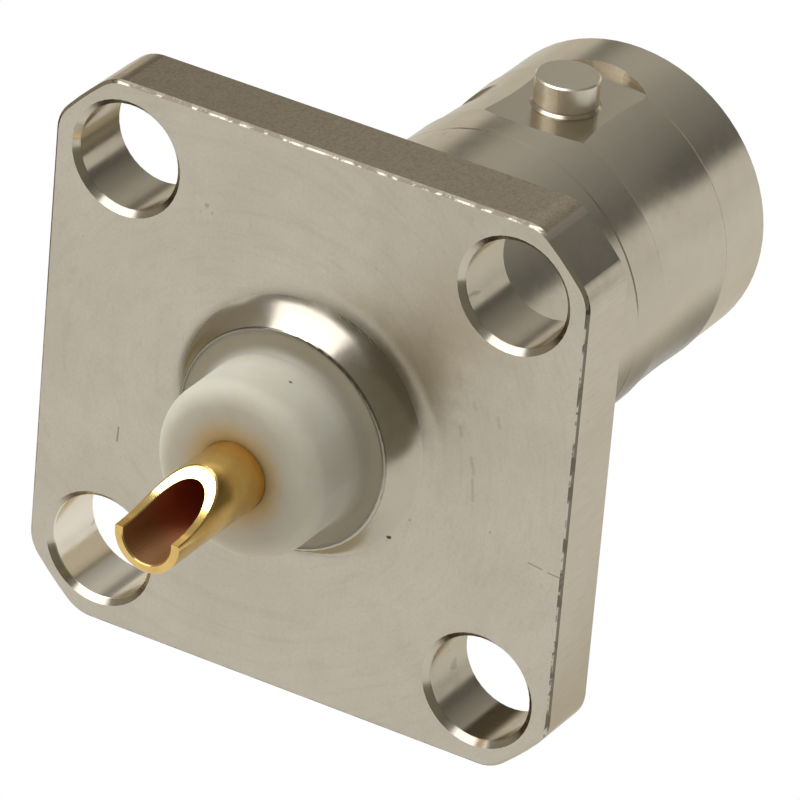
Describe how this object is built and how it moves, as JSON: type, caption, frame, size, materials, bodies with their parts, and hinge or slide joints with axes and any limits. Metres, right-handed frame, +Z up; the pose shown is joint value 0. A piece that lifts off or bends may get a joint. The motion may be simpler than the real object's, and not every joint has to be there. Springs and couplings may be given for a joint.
{
  "type": "bayonet circular connector",
  "caption": "Panel-mount coaxial jack: a square flange with corner holes, a turned nose with bayonet lugs round a slotted socket, and a solder-cup contact in a white insulator.",
  "frame": {"origin": "On the connector's axis, in the rear face of the square flange.", "axes": "+Y along the axis and out of the mating mouth, +Z up along one bayonet lug, +X to the right when the solder side is seen with +Z up."},
  "size_m": [0.0174, 0.0266, 0.0174],
  "materials": {
    "nickel_plate": "nickel plated, satin",
    "white_insulator": "smooth waxy white",
    "gold_plate": "gold plated, bright"
  },
  "bodies": {
    "root": {"body": "nickel_plate", "front_insulator": "white_insulator", "rear_insulator": "white_insulator", "centre_contact": "gold_plate"}
  },
  "joints": []
}
